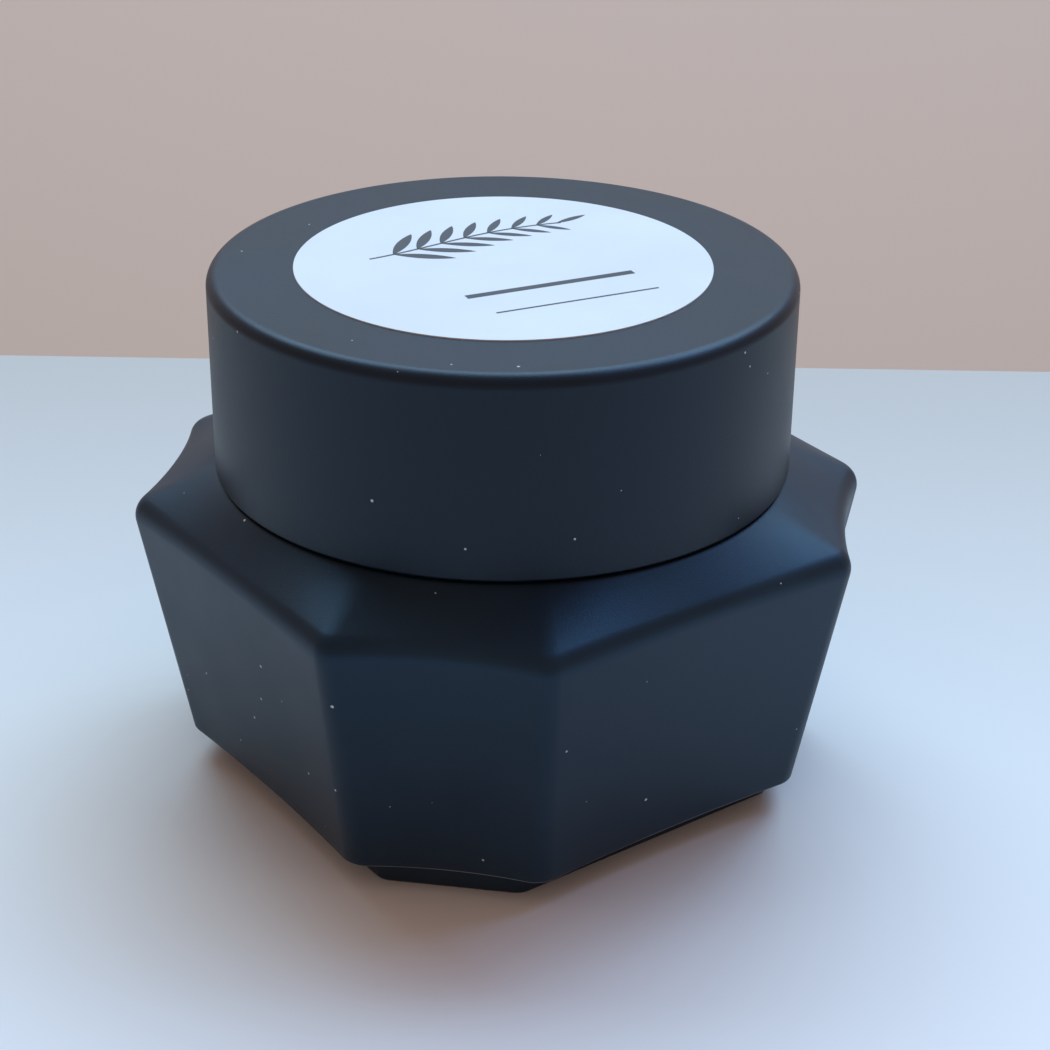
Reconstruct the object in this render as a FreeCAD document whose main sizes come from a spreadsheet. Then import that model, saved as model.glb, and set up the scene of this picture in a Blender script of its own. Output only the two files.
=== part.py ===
"""Cosmetic cream jar: an octagonal double-wall jar with a round screw lid.

Millimetres.  Z is up and runs through the middle of the jar, and z = 0 is the face that the
foot rests on.  The four narrow facets of the octagon face +X, +Y, -X and -Y, and the four wide
ones face the diagonals.  Every driving size is a cell of the spreadsheet; sketches, features and
placements are bound to those cells.
"""
import FreeCAD, Part
import math
import os

import Sketcher
from FreeCAD import Vector

UP = Vector(0, 0, 1)
START, END = 1, 2            # the two ends of a sketch line or arc
POINT = 1                    # a sketch point's only handle
SKETCH_X, SKETCH_Y = -1, -2  # a sketch's own axes
ORIGIN = (-1, 1)             # a sketch's own origin

SIZES = {
    # octagonal outline at three heights: reach is from the axis to the chord of a narrow facet,
    # half is half the width of that facet, dip is how far the side bows in
    "rim_reach": 31.4, "rim_half": 9.1, "rim_dip_narrow": 1.0, "rim_dip_wide": 0.1,
    "rim_corner": 2.0, "rim_height": 25.5, "rim_fillet": 2.0,
    "hem_reach": 27.4, "hem_half": 7.95, "hem_dip_narrow": 0.75, "hem_dip_wide": 0.45,
    "hem_corner": 2.5, "hem_height": 2.75,
    "foot_reach": 25.1, "foot_half": 6.0, "foot_corner": 1.7, "foot_edge": 0.4,
    # shoulder and the hollow of the outer jar
    "seat_radius": 24.8, "seat_height": 28.75, "shoulder_under": 25.0,
    "hollow_reach": 24.85, "hollow_half": 7.3, "hollow_draft": 0.5,
    "neck_hole": 20.8, "ledge_radius": 23.0, "ledge_depth": 1.2,
    # base plate
    "plug_depth": 1.9, "underside_radius": 18.0, "underside_depth": 0.7,
    # inner cup
    "bore_radius": 18.4, "cup_floor": 10.8, "cup_floor_wall": 1.3, "cup_body": 20.0,
    "neck_radius": 20.5, "flange_radius": 22.8, "neck_top": 41.8,
    "cup_corner_in": 4.0, "cup_corner_out": 5.0, "mouth_round": 0.4,
    # screw thread, shared by the neck and the lid's inner cap
    "lead": 4.2, "neck_turns": 1.4, "cap_turns": 1.3, "neck_thread_z": 33.0,
    "neck_crest": 21.6, "cap_crest": 21.0, "ridge_crest": 0.35, "ridge_root": 0.75, "bury": 0.3,
    # lid
    "lid_radius": 25.0, "lid_bottom": 29.0, "lid_top": 46.3, "lid_wall": 1.6,
    "lid_top_round": 1.1, "lid_hem_round": 0.25,
    "cap_bore": 22.0, "cap_outer": 23.1, "cap_bottom": 29.75, "cap_top_wall": 1.2,
    "rib_width": 0.8, "rib_count": 24, "bead_reach": 0.6, "bead_height": 0.5,
    "liner_radius": 21.7, "liner_thick": 0.95, "clearance": 0.05,
    "label_radius": 17.7, "label_thick": 0.12,
    # sealing disc
    "disc_radius": 20.6, "disc_thick": 0.6, "dish_radius": 18.1, "dish_wall": 0.8,
    "dish_depth": 2.4, "tab_length": 9.0, "tab_thick": 1.2, "tab_height": 1.9,
}


class Term:
    """A size and the expression it comes from, kept together through arithmetic."""

    def __init__(self, value, text):
        self.value = value
        self.text = text

    @staticmethod
    def of(other):
        """A plain number as a term."""
        return other if isinstance(other, Term) else Term(float(other), repr(float(other)))

    def join(self, other, sign, value):
        """A new term from this one and another, with the sign between their texts."""
        return Term(value, "(%s %s %s)" % (self.text, sign, Term.of(other).text))

    def __add__(self, other):
        return self.join(other, "+", self.value + Term.of(other).value)

    def __sub__(self, other):
        return self.join(other, "-", self.value - Term.of(other).value)

    def __mul__(self, other):
        return self.join(other, "*", self.value * Term.of(other).value)

    def __truediv__(self, other):
        return self.join(other, "/", self.value / Term.of(other).value)


class Sizes:
    """The driving sizes: each is a cell of the sheet, and an attribute here as a term."""

    def __init__(self, document):
        sheet = document.addObject("Spreadsheet::Sheet", "sizes")
        for row, (name, value) in enumerate(SIZES.items(), start=1):
            sheet.set("A%d" % row, name)
            sheet.set("B%d" % row, str(value))
            sheet.setAlias("B%d" % row, name)
            setattr(self, name, Term(float(value), "sizes." + name))
        document.recompute()


def bind(owner, path, term):
    """Set one property or constraint of an object from a term."""
    owner.setExpression(path, Term.of(term).text)


def make_body(document, name):
    """An empty body whose label is the name of its sub-part."""
    body = document.addObject("PartDesign::Body", name)
    body.Label = name
    return body


def make_sketch(body, name, role="XY_Plane", height=None):
    """A sketch on one of the body's own origin planes, raised by a term if one is given."""
    sketch = body.newObject("Sketcher::SketchObject", name)
    plane = next(item for item in body.Origin.OriginFeatures if item.Role == role)
    sketch.AttachmentSupport = (plane, [""])
    sketch.MapMode = "FlatFace"
    if height is not None:
        bind(sketch, "AttachmentOffset.Base.z", height)
    return sketch


def dimension(sketch, kind, places, term):
    """Add a dimension with its size bound to the sheet."""
    index = sketch.addConstraint(Sketcher.Constraint(kind, *places, term.value))
    bind(sketch, "Constraints[%d]" % index, term)


def pin(sketch, place, across, along):
    """Fix a sketch point by its distances from the sketch's two axes, which may be negative."""
    for kind, axis, term in (("DistanceX", SKETCH_Y, across), ("DistanceY", SKETCH_X, along)):
        if abs(term.value) < 1e-9:
            sketch.addConstraint(Sketcher.Constraint("PointOnObject", *place, axis))
        elif term.value > 0:
            dimension(sketch, kind, (*ORIGIN, *place), term)
        else:
            dimension(sketch, kind, (*place, *ORIGIN), term * -1)


def polygon(sketch, corners):
    """A closed outline of straight lines through corners given as pairs of terms."""
    corners = [(Term.of(across), Term.of(along)) for across, along in corners]
    points = [Vector(across.value, along.value, 0) for across, along in corners]
    lines = []
    for here, there in zip(points, points[1:] + points[:1]):
        lines.append(sketch.addGeometry(Part.LineSegment(here, there), False))
    for line, following in zip(lines, lines[1:] + lines[:1]):
        sketch.addConstraint(Sketcher.Constraint("Coincident", line, END, following, START))
    for line, (across, along) in zip(lines, corners):
        pin(sketch, (line, START), across, along)


def octagon_corners(reach, half):
    """The eight corners, counter-clockwise, the first side being the narrow facet at +X."""
    corners = []
    for turn in range(4):
        for across, along in ((reach, half * -1), (reach, half)):
            for _ in range(turn):
                across, along = along * -1, across
            corners.append((across, along))
    return corners


def circle_sketch(sketch, radius):
    """A circle about the sketch's origin."""
    circle = sketch.addGeometry(Part.Circle(Vector(0, 0, 0), UP, radius.value), False)
    sketch.addConstraint(Sketcher.Constraint("Coincident", circle, 3, *ORIGIN))
    dimension(sketch, "Radius", (circle,), radius)


def bowed_octagon(sketch, reach, half, dips, corner_radius):
    """An octagon whose sides bow inwards and whose corners are rounded.

    The dips are the depths of the bows in the narrow and the wide sides.
    """
    corners = octagon_corners(reach, half)
    points = [Vector(across.value, along.value, 0) for across, along in corners]
    half_chords_squared = (half * half, (reach - half) * (reach - half) / 2)
    radii = [(squared + dip * dip) / (dip * 2) for squared, dip in zip(half_chords_squared, dips)]
    centres = []
    for side in range(8):
        here, there = points[side], points[(side + 1) % 8]
        middle = (here + there) / 2
        outward = Vector(middle).normalize()
        centres.append(middle + outward * (radii[side % 2].value - dips[side % 2].value))

    rounds = []
    for side in range(8):
        before, after = centres[side - 1], centres[side]
        reach_before = radii[(side - 1) % 2].value + corner_radius.value
        reach_after = radii[side % 2].value + corner_radius.value
        span = after - before
        along = (reach_before ** 2 - reach_after ** 2 + span.Length ** 2) / (2 * span.Length)
        sideways = math.sqrt(reach_before ** 2 - along ** 2)
        direction = Vector(span).normalize()
        foot = before + direction * along
        options = [foot + UP.cross(direction) * sideways, foot - UP.cross(direction) * sideways]
        rounds.append(min(options, key=lambda point: (point - points[side]).Length))

    def touch(side, corner):
        """Where a side's arc meets a corner's arc."""
        toward = (rounds[corner] - centres[side]).normalize()
        return centres[side] + toward * radii[side % 2].value

    def arc(centre, radius, first, last):
        """An arc of a circle, counter-clockwise from the first point to the last."""
        angles = [math.atan2(point.y - centre.y, point.x - centre.x) for point in (first, last)]
        return Part.ArcOfCircle(Part.Circle(centre, UP, radius), *angles)

    side_arcs, corner_arcs, marks = [], [], []
    for side in range(8):
        following = (side + 1) % 8
        shape = arc(centres[side], radii[side % 2].value, touch(side, following), touch(side, side))
        side_arcs.append(sketch.addGeometry(shape, False))
        shape = arc(rounds[following], corner_radius.value, touch(side, following),
                    touch(following, following))
        corner_arcs.append(sketch.addGeometry(shape, False))
    for point, (across, along) in zip(points, corners):
        marks.append(sketch.addGeometry(Part.Point(point), True))
        pin(sketch, (marks[-1], POINT), across, along)
    for side in range(8):
        following = (side + 1) % 8
        for mark in (marks[side], marks[following]):
            sketch.addConstraint(Sketcher.Constraint("PointOnObject", mark, POINT, side_arcs[side]))
        dimension(sketch, "Radius", (side_arcs[side],), radii[side % 2])
        dimension(sketch, "Radius", (corner_arcs[side],), corner_radius)
        sketch.addConstraint(Sketcher.Constraint(
            "Tangent", side_arcs[side], START, corner_arcs[side], START))
        sketch.addConstraint(Sketcher.Constraint(
            "Tangent", corner_arcs[side], END, side_arcs[following], END))


def loft(body, kind, name, profile, section):
    """A straight loft from one sketch to another, added to the body or cut from it."""
    feature = body.newObject("PartDesign::%sLoft" % kind, name)
    feature.Profile = profile
    feature.Sections = [section]
    feature.Ruled = True
    return feature


def pad(body, name, sketch, length, reverse=False):
    """Extrude a sketch upwards, or downwards."""
    feature = body.newObject("PartDesign::Pad", name)
    feature.Profile = sketch
    feature.Reversed = reverse
    bind(feature, "Length", length)
    return feature


def pocket(body, name, sketch, length, upwards=False):
    """Cut a sketch's outline downwards from its plane, or upwards."""
    feature = body.newObject("PartDesign::Pocket", name)
    feature.Profile = sketch
    feature.Reversed = upwards
    bind(feature, "Length", length)
    return feature


def turned(body, name, corners):
    """A solid of revolution about Z from corners given as radius and height."""
    sketch = make_sketch(body, name + "_profile", "XZ_Plane")
    polygon(sketch, corners)
    feature = body.newObject("PartDesign::Revolution", name)
    feature.Profile = sketch
    feature.ReferenceAxis = (sketch, ["V_Axis"])
    feature.Angle = 360.0
    return feature


def thread(body, name, size, root, crest, middle, turns):
    """A right-hand ridge that winds up from its middle height at +X."""
    sketch = make_sketch(body, name + "_section", "XZ_Plane")
    polygon(sketch, [(root, middle - size.ridge_root), (crest, middle - size.ridge_crest),
                     (crest, middle + size.ridge_crest), (root, middle + size.ridge_root)])
    feature = body.newObject("PartDesign::AdditiveHelix", name)
    feature.Profile = sketch
    feature.ReferenceAxis = (sketch, ["V_Axis"])
    feature.Mode = "pitch-turns-angle"
    feature.LeftHanded = False
    feature.Reversed = False
    feature.Angle = 0.0
    feature.Growth = 0.0
    bind(feature, "Pitch", size.lead)
    bind(feature, "Turns", turns)
    return feature


def edges_where(shape, test):
    """The names of the edges whose middle point passes a test."""
    names = []
    for number, edge in enumerate(shape.Edges, start=1):
        middle = edge.valueAt((edge.FirstParameter + edge.LastParameter) / 2)
        if test(edge, middle):
            names.append("Edge%d" % number)
    return names


def soften(body, name, base, radius, test):
    """Fillet the edges of the base that pass a test."""
    names = edges_where(base.Shape, test)
    if not names:
        raise RuntimeError(name + " found no edge")
    feature = body.newObject("PartDesign::Fillet", name)
    feature.Base = (base, names)
    bind(feature, "Radius", radius)
    return feature


def ring_at(radius, height):
    """A test for a whole circle about Z at this radius and height."""
    def test(edge, middle):
        flat = math.hypot(middle.x, middle.y)
        return abs(flat - radius.value) < 1e-3 and abs(middle.z - height.value) < 1e-3
    return test


def upright(edge, middle):
    """A test for the edges that run up the sides of an octagonal block."""
    ends = [vertex.Point for vertex in edge.Vertexes]
    return len(ends) == 2 and abs(ends[0].z - ends[1].z) > 1.0


def outer_jar(document, size):
    """The black shell: bowed octagonal walls, a sloping shoulder and a hole for the neck."""
    body = make_body(document, "outer_jar")
    hem = make_sketch(body, "hem_outline", height=size.hem_height)
    bowed_octagon(hem, size.hem_reach, size.hem_half,
                  (size.hem_dip_narrow, size.hem_dip_wide), size.hem_corner)
    rim = make_sketch(body, "rim_outline", height=size.rim_height)
    bowed_octagon(rim, size.rim_reach, size.rim_half,
                  (size.rim_dip_narrow, size.rim_dip_wide), size.rim_corner)
    seat = make_sketch(body, "seat_outline", height=size.seat_height)
    circle_sketch(seat, size.seat_radius)
    loft(body, "Additive", "walls", hem, rim)
    shoulder = loft(body, "Additive", "shoulder", rim, seat)
    document.recompute()

    soften(body, "rim_round", shoulder, size.rim_fillet,
           lambda edge, middle: abs(middle.z - size.rim_height.value) < 1e-3)
    document.recompute()

    mouth = make_sketch(body, "hollow_mouth", height=size.hem_height)
    polygon(mouth, octagon_corners(size.hollow_reach, size.hollow_half))
    ceiling = make_sketch(body, "hollow_ceiling", height=size.shoulder_under)
    polygon(ceiling, octagon_corners(size.hollow_reach - size.hollow_draft,
                                     size.hollow_half - size.hollow_draft / 2))
    loft(body, "Subtractive", "hollow", mouth, ceiling)
    hole = make_sketch(body, "neck_hole_outline", height=size.seat_height)
    circle_sketch(hole, size.neck_hole)
    pocket(body, "neck_hole", hole, size.seat_height - size.shoulder_under + 1)
    ledge = make_sketch(body, "ledge_outline", height=size.seat_height)
    circle_sketch(ledge, size.ledge_radius)
    pocket(body, "ledge", ledge, size.ledge_depth)
    return body


def base_plate(document, size):
    """The foot: a smaller octagon with flat sides, and a plug that closes the shell."""
    body = make_body(document, "base_plate")
    outline = make_sketch(body, "foot_outline")
    polygon(outline, octagon_corners(size.foot_reach, size.foot_half))
    foot = pad(body, "foot", outline, size.hem_height)
    document.recompute()
    rounded = soften(body, "foot_corners", foot, size.foot_corner, upright)
    document.recompute()
    eased = soften(body, "foot_edge_round", rounded, size.foot_edge,
                   lambda edge, middle: abs(middle.z) < 1e-3)
    document.recompute()
    plug = make_sketch(body, "plug_outline", height=size.hem_height)
    polygon(plug, octagon_corners(size.hollow_reach - size.hollow_draft,
                                  size.hollow_half - size.hollow_draft / 2))
    pad(body, "plug", plug, size.plug_depth)
    recess = make_sketch(body, "underside_outline")
    circle_sketch(recess, size.underside_radius)
    pocket(body, "underside", recess, size.underside_depth, upwards=True)
    return body


def inner_cup(document, size):
    """The cup that holds the cream: a round bore, a flange on the shoulder, a threaded neck."""
    body = make_body(document, "inner_cup")
    bottom = size.cup_floor - size.cup_floor_wall
    flange_bottom = size.seat_height - size.ledge_depth
    cup = turned(body, "cup", [
        (0, bottom), (size.cup_body, bottom), (size.cup_body, flange_bottom),
        (size.flange_radius, flange_bottom), (size.flange_radius, size.seat_height),
        (size.neck_radius, size.seat_height), (size.neck_radius, size.neck_top),
        (size.bore_radius, size.neck_top), (size.bore_radius, size.cup_floor),
        (0, size.cup_floor)])
    document.recompute()
    outside = soften(body, "outer_corner", cup, size.cup_corner_out,
                     ring_at(size.cup_body, bottom))
    document.recompute()
    inside = soften(body, "inner_corner", outside, size.cup_corner_in,
                    ring_at(size.bore_radius, size.cup_floor))
    document.recompute()
    soften(body, "mouth_edges", inside, size.mouth_round,
           lambda edge, middle: abs(middle.z - size.neck_top.value) < 1e-3)
    document.recompute()
    thread(body, "neck_thread", size, size.neck_radius - size.bury, size.neck_crest,
           size.neck_thread_z, size.neck_turns)
    return body


def lid_shell(document, size):
    """The round black overcap that the hand turns."""
    body = make_body(document, "lid_shell")
    inner = size.lid_radius - size.lid_wall
    ceiling = size.lid_top - size.lid_wall
    shell = turned(body, "shell", [
        (0, size.lid_top), (0, ceiling), (inner, ceiling), (inner, size.lid_bottom),
        (size.lid_radius, size.lid_bottom), (size.lid_radius, size.lid_top)])
    document.recompute()
    top = soften(body, "top_round", shell, size.lid_top_round,
                 ring_at(size.lid_radius, size.lid_top))
    document.recompute()
    soften(body, "hem_round", top, size.lid_hem_round,
           ring_at(size.lid_radius, size.lid_bottom))
    return body


def lid_inner_cap(document, size):
    """The threaded cap pressed into the shell, held by ribs all round."""
    body = make_body(document, "lid_inner_cap")
    top = size.lid_top - size.lid_wall
    ceiling = top - size.cap_top_wall
    bead_top = ceiling - size.liner_thick - size.clearance * 2
    bead_bottom = bead_top - size.bead_height
    bead = size.cap_bore - size.bead_reach
    cap = turned(body, "cap", [
        (0, top), (0, ceiling), (size.cap_bore, ceiling), (size.cap_bore, bead_top),
        (bead, bead_top - size.bead_height / 2), (size.cap_bore, bead_bottom),
        (size.cap_bore, size.cap_bottom), (size.cap_outer, size.cap_bottom),
        (size.cap_outer, top)])
    document.recompute()

    rib_outline = make_sketch(body, "rib_outline", height=size.cap_bottom)
    buried = size.cap_outer - size.bury
    rib_reach = size.lid_radius - size.lid_wall
    polygon(rib_outline, [(buried, size.rib_width / -2), (rib_reach, size.rib_width / -2),
                          (rib_reach, size.rib_width / 2), (buried, size.rib_width / 2)])
    rib = pad(body, "rib", rib_outline, top - size.cap_bottom)
    ribs = body.newObject("PartDesign::PolarPattern", "ribs")
    ribs.Originals = [rib]
    ribs.Axis = (rib_outline, ["N_Axis"])
    ribs.Angle = 360.0
    bind(ribs, "Occurrences", size.rib_count)
    body.Tip = ribs
    document.recompute()
    thread(body, "cap_thread", size, size.cap_bore + size.bury, size.cap_crest,
           size.neck_thread_z - size.lead / 2, size.cap_turns)
    return body


def sealing_disc(document, size):
    """The loose inner lid: a dished disc on the neck with a tab to lift it by."""
    body = make_body(document, "sealing_disc")
    under = size.neck_top + size.clearance
    top = under + size.disc_thick
    dish_under = under - size.dish_depth
    dish_top = dish_under + size.dish_wall
    turned(body, "disc", [
        (0, dish_under), (size.dish_radius, dish_under), (size.dish_radius, under),
        (size.disc_radius, under), (size.disc_radius, top),
        (size.dish_radius - size.dish_wall, top), (size.dish_radius - size.dish_wall, dish_top),
        (0, dish_top)])
    document.recompute()
    outline = make_sketch(body, "tab_outline", height=dish_top)
    half_length = size.tab_length / 2
    half_thick = size.tab_thick / 2
    polygon(outline, [(half_length * -1, half_thick * -1), (half_length, half_thick * -1),
                      (half_length, half_thick), (half_length * -1, half_thick)])
    tab = pad(body, "tab", outline, size.tab_height)
    document.recompute()
    soften(body, "tab_ends", tab, size.tab_thick * 0.45,
           lambda edge, middle: upright(edge, middle) and abs(middle.x) > half_length.value - 0.1
           and abs(middle.y) < size.tab_thick.value)
    return body


def flat_round(document, name, radius, under, thick):
    """A plain disc about Z."""
    disc = document.addObject("Part::Cylinder", name)
    disc.Label = name
    bind(disc, "Radius", radius)
    bind(disc, "Height", thick)
    bind(disc, "Placement.Base.z", under)
    return disc


def lid_liner(document, size):
    """The foam wad inside the cap that seals on the disc."""
    ceiling = size.lid_top - size.lid_wall - size.cap_top_wall
    under = ceiling - size.clearance - size.liner_thick
    return flat_round(document, "lid_liner", size.liner_radius, under, size.liner_thick)


def lid_label(document, size):
    """The round sticker on the lid."""
    return flat_round(document, "lid_label", size.label_radius, size.lid_top, size.label_thick)


def check(document, parts):
    """Stop unless every object is sound and every sub-part is one valid solid."""
    for item in document.Objects:
        if {"Invalid", "Error"} & set(item.State):
            raise RuntimeError("%s: %s" % (item.Name, item.State))
        if item.isDerivedFrom("Sketcher::SketchObject") and not item.FullyConstrained:
            raise RuntimeError("%s is not fully constrained" % item.Name)
    for part in parts:
        shape = part.Shape
        if shape.isNull() or not shape.isValid() or len(shape.Solids) != 1:
            raise RuntimeError("%s is not one valid solid" % part.Label)


def main():
    """Build the document, check it and write one STEP file for each sub-part."""
    document = FreeCAD.newDocument("cream_jar")
    size = Sizes(document)
    makers = (outer_jar, base_plate, inner_cup, lid_shell, lid_inner_cap, lid_liner, lid_label,
              sealing_disc)
    parts = []
    for make in makers:
        parts.append(make(document, size))
        document.recompute()
    check(document, parts)
    os.makedirs("parts", exist_ok=True)
    for part in parts:
        shape = part.Shape
        box = shape.BoundBox
        shape.exportStep(os.path.join("parts", part.Label + ".step"))
        print("%-14s %9.1f mm3  z %.2f to %.2f  across %.2f" % (
            part.Label, shape.Volume, box.ZMin, box.ZMax, box.XLength))


main()
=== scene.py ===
"""A cosmetic cream jar: an octagonal soft-touch jar, a round screw lid and what is inside them.

Lengths in the classes are millimetres, and meshes are written in metres.  The jar stands on
z = 0 with its axis on Z, and the narrow facets of the octagon face +X, +Y, -X and -Y.
"""
import logging
import math
from dataclasses import dataclass, field
from enum import Enum

import bpy
from mathutils import Matrix, Vector

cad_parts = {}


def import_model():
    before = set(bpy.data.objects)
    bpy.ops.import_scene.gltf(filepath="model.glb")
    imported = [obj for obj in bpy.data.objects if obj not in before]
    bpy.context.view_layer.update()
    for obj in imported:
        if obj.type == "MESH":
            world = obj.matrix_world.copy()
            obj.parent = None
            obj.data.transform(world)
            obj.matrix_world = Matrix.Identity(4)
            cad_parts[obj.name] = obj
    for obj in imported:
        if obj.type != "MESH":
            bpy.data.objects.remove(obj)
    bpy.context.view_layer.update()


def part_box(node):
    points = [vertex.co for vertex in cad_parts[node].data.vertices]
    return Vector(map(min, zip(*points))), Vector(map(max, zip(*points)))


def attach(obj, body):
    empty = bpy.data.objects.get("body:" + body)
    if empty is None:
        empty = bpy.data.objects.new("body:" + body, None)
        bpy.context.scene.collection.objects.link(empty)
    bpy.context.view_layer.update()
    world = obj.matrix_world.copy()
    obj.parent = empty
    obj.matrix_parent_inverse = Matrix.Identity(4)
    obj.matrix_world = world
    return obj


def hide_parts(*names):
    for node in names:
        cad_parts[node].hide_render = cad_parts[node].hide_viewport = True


MM = 0.001
FULL_TURN = 2.0 * math.pi
ROUND_STEPS = 6
RIDGE_STEPS_PER_TURN = 150
RIDGE_EASE = 0.06
RIDGE_END_SHARE = 0.35
RIDGE_LOWEST = 0.02
CLOUD_MM = 14.0
CLOUD_LOW, CLOUD_HIGH = 0.25, 0.75
DUST_SPACING_MM = 2.0
DUST_SIZE_LEAST = 0.025
DUST_SIZE_SPREAD = 0.05
DUST_COLOUR = "#b9c2c9"
# Painted highlight: a pale grey line along the jar's bottom edge that stands for the light the edge
# catches, with its narrowest and widest widths in millimetres.
EDGE_HIGHLIGHT_COLOUR = "#6d757f"
EDGE_HIGHLIGHT_NARROW, EDGE_HIGHLIGHT_WIDE = 0.04, 0.09
log = logging.getLogger("cream_jar")

Ring = list[Vector]
Corner = tuple[float, float, float]


class Body(Enum):
    """The rigid bodies that the pieces ride on."""

    JAR = "jar"
    LINER = "liner"
    LID = "lid"
    SEAL = "seal"


class Slot(Enum):
    """The material slots of the record."""

    SHELL = "soft_touch_shell"
    LID = "soft_touch_lid"
    BASE = "black_base"
    CUP = "white_polypropylene"
    CAP = "black_inner_cap"
    LINER = "foam_liner"
    LABEL = "coated_label"
    DISC = "natural_polypropylene"


# ---- Mesh building ----


@dataclass
class Skin:
    """Vertices in millimetres and faces, gathered before they become an object."""

    vertices: list[Vector] = field(default_factory=list)
    faces: list[tuple[int, ...]] = field(default_factory=list)

    def rings(self, rows: list[Ring], wrap_rows: bool = False) -> None:
        """Add a surface through closed rings of points.

        Args:
            rows: Rings with the same number of points, each counter-clockwise seen from above.
                A ring that is one single point closes the surface there.
            wrap_rows: Whether the last ring joins the first, as on a tube bent into a loop.
        """
        starts = []
        for row in rows:
            starts.append(len(self.vertices))
            self.vertices.extend(row)
        last = len(rows) if wrap_rows else len(rows) - 1
        for index in range(last):
            following = (index + 1) % len(rows)
            self._band(starts[index], len(rows[index]), starts[following], len(rows[following]))

    def _band(self, low: int, low_count: int, high: int, high_count: int) -> None:
        """Join one ring to the next, either of which may be a single point.

        Args:
            low: The number of the lower ring's first vertex.
            low_count: How many points the lower ring has.
            high: The number of the upper ring's first vertex.
            high_count: How many points the upper ring has.
        """
        count = max(low_count, high_count)
        for step in range(count):
            after = (step + 1) % count
            if low_count == 1:
                self.faces.append((low, high + after, high + step))
            elif high_count == 1:
                self.faces.append((low + step, low + after, high))
            else:
                self.faces.append((low + step, low + after, high + after, high + step))

    def strip(self, sections: list[list[Vector]]) -> None:
        """Add a closed bar from sections with the same number of points, capped at both ends.

        Args:
            sections: Closed outlines, in order along the bar.
        """
        starts = []
        for section in sections:
            starts.append(len(self.vertices))
            self.vertices.extend(section)
        size = len(sections[0])
        for here, there in zip(starts, starts[1:]):
            for side in range(size):
                after = (side + 1) % size
                self.faces.append((here + side, here + after, there + after, there + side))
        self.faces.append(tuple(starts[0] + side for side in reversed(range(size))))
        self.faces.append(tuple(starts[-1] + side for side in range(size)))

    def build(self, name: str, sharp_degrees: float = 38.0) -> bpy.types.Object:
        """Make the object, smooth but for its sharp edges.

        Args:
            name: The piece's name.
            sharp_degrees: Edges that turn by more than this stay sharp.

        Returns:
            The new object, linked to the scene.
        """
        mesh = bpy.data.meshes.new(name)
        mesh.from_pydata([vertex * MM for vertex in self.vertices], [], self.faces)
        mesh.validate()
        mesh.shade_smooth()
        mesh.set_sharp_from_angle(angle=math.radians(sharp_degrees))
        piece = bpy.data.objects.new(name, mesh)
        bpy.context.scene.collection.objects.link(piece)
        turn_outwards(piece)
        return piece


def turn_outwards(piece: bpy.types.Object) -> None:
    """Make every face of a closed mesh look outwards.

    Args:
        piece: The object, whose mesh is changed in place.
    """
    bpy.context.view_layer.objects.active = piece
    piece.select_set(True)
    bpy.ops.object.mode_set(mode="EDIT")
    bpy.ops.mesh.select_all(action="SELECT")
    bpy.ops.mesh.normals_make_consistent(inside=False)
    bpy.ops.object.mode_set(mode="OBJECT")
    piece.select_set(False)


def rounded(corners: list[Corner], steps: int = ROUND_STEPS) -> list[Vector]:
    """Trace a profile whose corners are rounded.

    Args:
        corners: Radius from the axis, height and rounding radius of each corner.
        steps: How many straight pieces each rounding has.

    Returns:
        Points with x as the radius and z as the height.
    """
    points = []
    for index, (across, up, radius) in enumerate(corners):
        here = Vector((across, 0.0, up))
        if radius <= 0.0 or index in (0, len(corners) - 1):
            points.append(here)
            continue
        before = Vector((corners[index - 1][0], 0.0, corners[index - 1][1]))
        after = Vector((corners[index + 1][0], 0.0, corners[index + 1][1]))
        points.extend(round_corner(before, here, after, radius, steps))
    return points


def round_corner(before: Vector, here: Vector, after: Vector, radius: float,
                 steps: int) -> list[Vector]:
    """Replace one corner of a path with an arc.

    Args:
        before: The point ahead of the corner.
        here: The corner.
        after: The point past it.
        radius: The arc's radius, made smaller where the path is too short for it.
        steps: How many straight pieces the arc has.

    Returns:
        The arc's points, from its first tangent point to its last.
    """
    back = (before - here).normalized()
    ahead = (after - here).normalized()
    half_turn = 0.5 * (math.pi - back.angle(ahead))
    room = 0.49 * min((before - here).length, (after - here).length)
    tangent = min(radius * math.tan(half_turn), room)
    radius = tangent / math.tan(half_turn)
    centre = here + (back + ahead).normalized() * (radius / math.cos(half_turn))
    start = (here + back * tangent - centre).normalized()
    end = (here + ahead * tangent - centre).normalized()
    return [centre + start.slerp(end, step / steps) * radius for step in range(steps + 1)]


def lathe(skin: Skin, profile: list[Vector], columns: int = 192, closed: bool = False) -> None:
    """Turn a profile about Z.

    Args:
        skin: The mesh it goes into.
        profile: Points with x as the radius and z as the height.
        columns: How many steps there are round the axis.
        closed: Whether the profile's last point joins its first.
    """
    rows = []
    for point in profile:
        if point.x < 1e-6:
            rows.append([Vector((0.0, 0.0, point.z))])
            continue
        rows.append([polar(point.x, FULL_TURN * step / columns, point.z)
                     for step in range(columns)])
    skin.rings(rows, wrap_rows=closed)


def polar(radius: float, angle: float, height: float) -> Vector:
    """A point given by its radius, its angle about Z and its height."""
    return Vector((radius * math.cos(angle), radius * math.sin(angle), height))


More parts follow.
